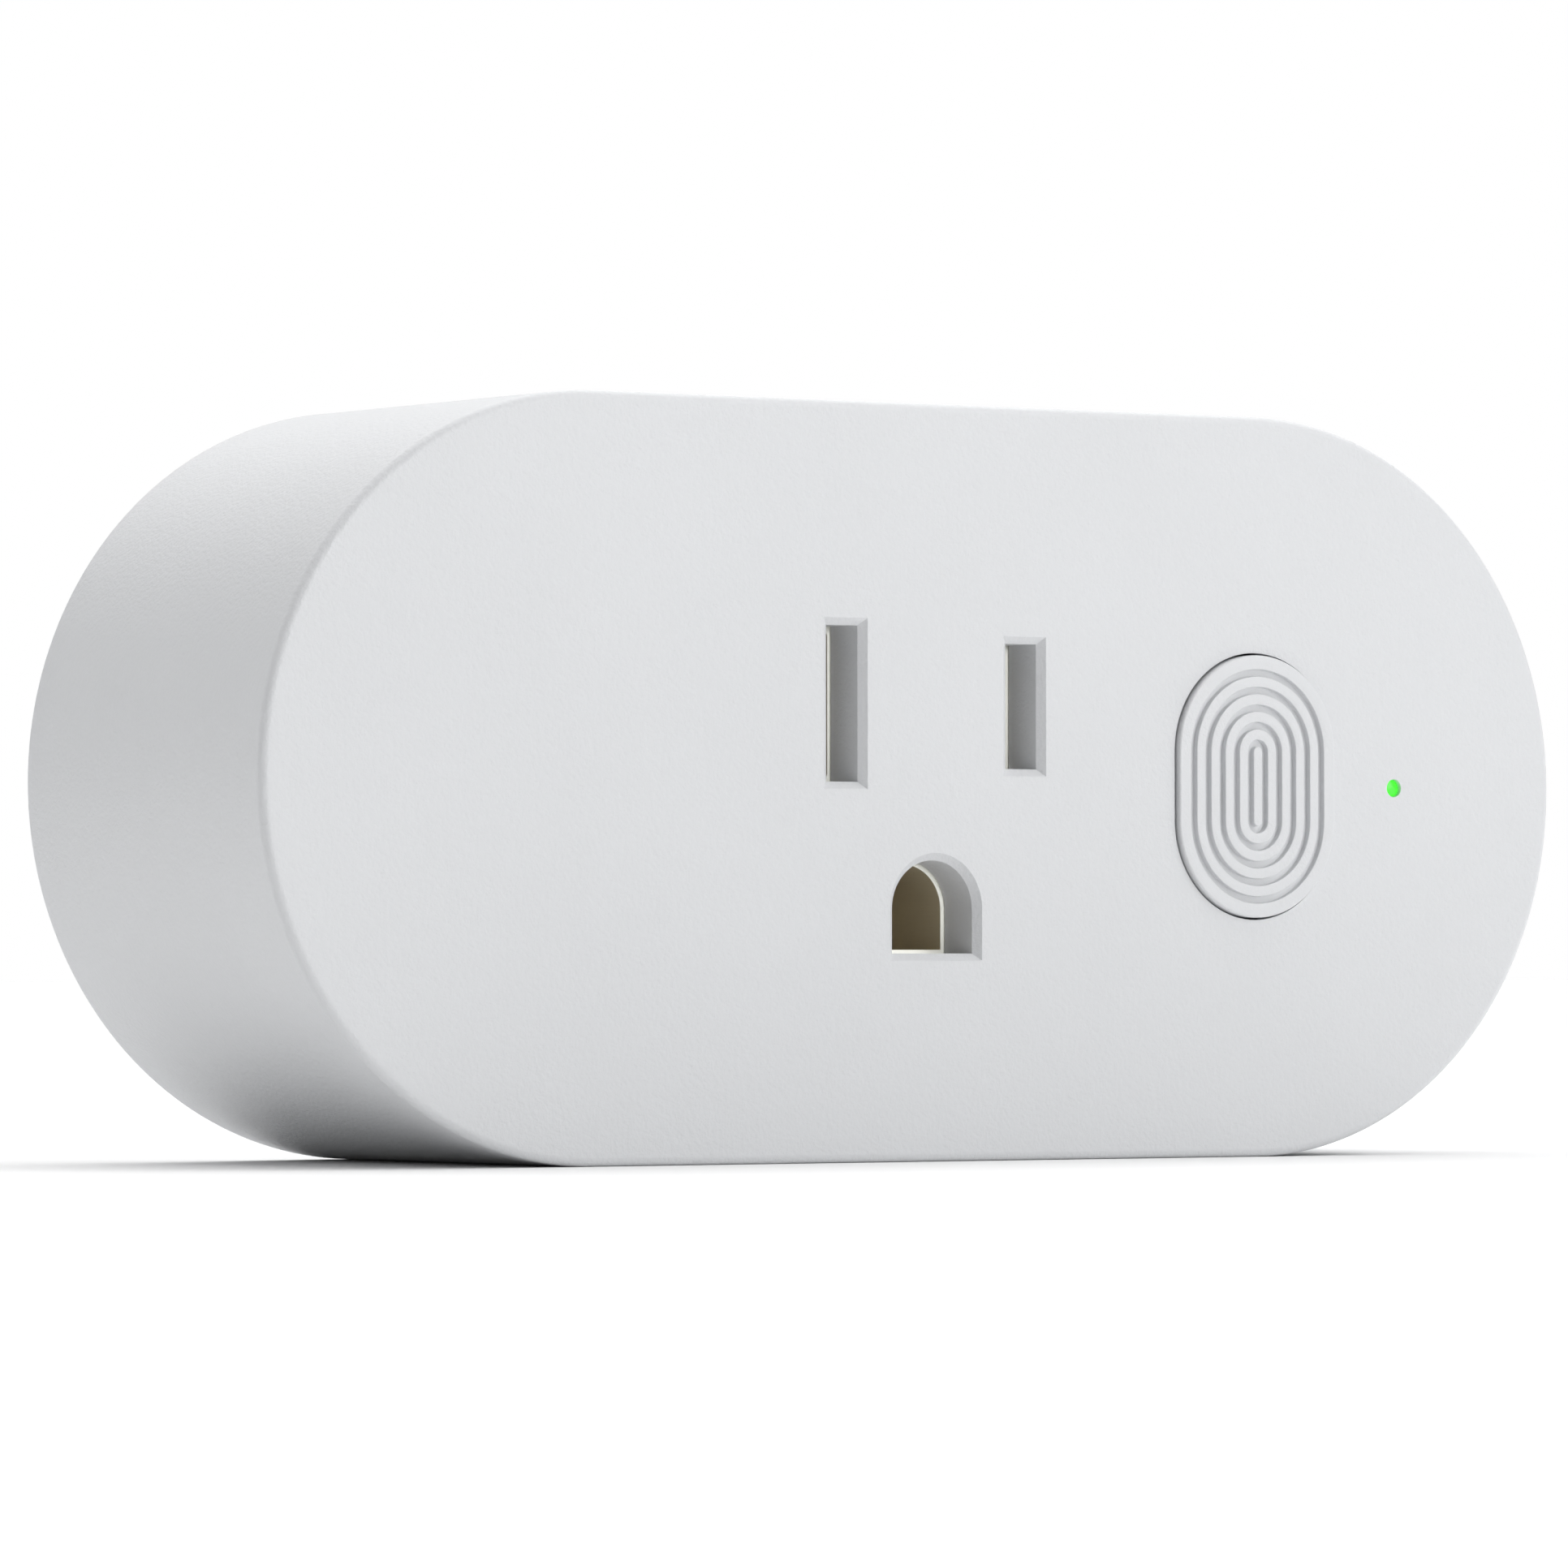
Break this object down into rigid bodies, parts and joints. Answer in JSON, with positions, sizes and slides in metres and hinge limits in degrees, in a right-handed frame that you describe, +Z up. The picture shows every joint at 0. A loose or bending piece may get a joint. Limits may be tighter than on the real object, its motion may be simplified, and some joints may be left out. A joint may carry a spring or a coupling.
{
  "type": "smart plug",
  "caption": "Pill-shaped smart plug: one grounded outlet, a ringed push button and a status light in front, blades and a ground pin behind.",
  "frame": {"origin": "centre of the rear face, which lies against the wall plate", "axes": "+X to the right of the outlet face, +Y into the wall along the blades, +Z up"},
  "size_m": [0.0914, 0.0475, 0.0442],
  "materials": {
    "casing_plastic": "fine even moulded grain",
    "button_plastic": "fine even moulded grain, ringed for grip",
    "light_plastic": "clear, lit green from behind",
    "black_plastic": "plain moulded",
    "cream_plastic": "plain moulded insulator",
    "board_green": "solder mask over glass laminate",
    "brass": "stamped spring brass, bright at its cut edges",
    "nickel": "nickel plating over brass, faint lengthwise brushing",
    "steel": "zinc-plated steel",
    "copper": "bare copper",
    "relay_blue": "moulded case",
    "varistor_blue": "dipped coating",
    "sleeve_black": "shrunk sleeve",
    "resistor_green": "dipped coating",
    "ferrite": "sintered ferrite",
    "ribbon_grey": "soft insulation",
    "paper": "pressed insulating paper"
  },
  "bodies": {
    "casing": {"bridge_rectifier": "black_plastic", "bulk_capacitor": "sleeve_black", "carrier_cap": "cream_plastic", "choke": "ferrite", "contact_carrier": "cream_plastic", "control_board": "board_green", "control_connector": "cream_plastic", "converter_chip": "black_plastic", "front_shell": "casing_plastic", "fuse_resistor": "resistor_green", "ground_contact": "brass", "ground_pin": "nickel", "ground_strap": "copper", "light_pipe": "light_plastic", "line_blade": "nickel", "line_contact": "brass", "line_insulator": "paper", "line_strap": "copper", "load_strap": "copper", "neutral_blade": "nickel", "neutral_contact": "brass", "neutral_strap": "copper", "output_capacitor": "sleeve_black", "power_board": "board_green", "power_connector": "cream_plastic", "radio_module": "board_green", "radio_shield": "nickel", "rear_cover": "casing_plastic", "relay_base": "black_plastic", "relay_bobbin": "black_plastic", "relay_coil": "copper", "relay_core": "steel", "relay_cover": "relay_blue", "relay_fixed_contact": "copper", "relay_yoke": "steel", "ribbon_cable": "ribbon_grey", "screw_lower_left": "steel", "screw_lower_right": "steel", "screw_upper_left": "steel", "screw_upper_right": "steel", "status_led": "light_plastic", "switch_body": "black_plastic", "switch_plate": "steel", "varistor": "varistor_blue", "voltage_regulator": "black_plastic"},
    "button": {"button_cap": "button_plastic"},
    "plunger": {"switch_plunger": "black_plastic"},
    "armature": {"relay_armature": "steel", "relay_contact_arm": "copper"}
  },
  "joints": [
    {"name": "button_press", "type": "slide", "parent": "casing", "child": "button", "axis": [0, 1, 0], "range_m": [0, 0.0003], "stiffness_N_per_m": 2000, "springref_m": -0.0003},
    {"name": "switch_press", "type": "slide", "parent": "casing", "child": "plunger", "axis": [0, 1, 0], "range_m": [0, 0.0003]},
    {"name": "armature_swing", "type": "hinge", "parent": "casing", "child": "armature", "pos_m": [-0.0225, -0.01805, 0.007], "axis": [1, 0, 0], "range_deg": [0, 3.5], "stiffness_Nm_per_rad": 0.02, "springref_deg": -5.73}
  ],
  "couplings": [
    {"joint": "switch_press", "follows": "button_press", "ratio": 1}
  ]
}
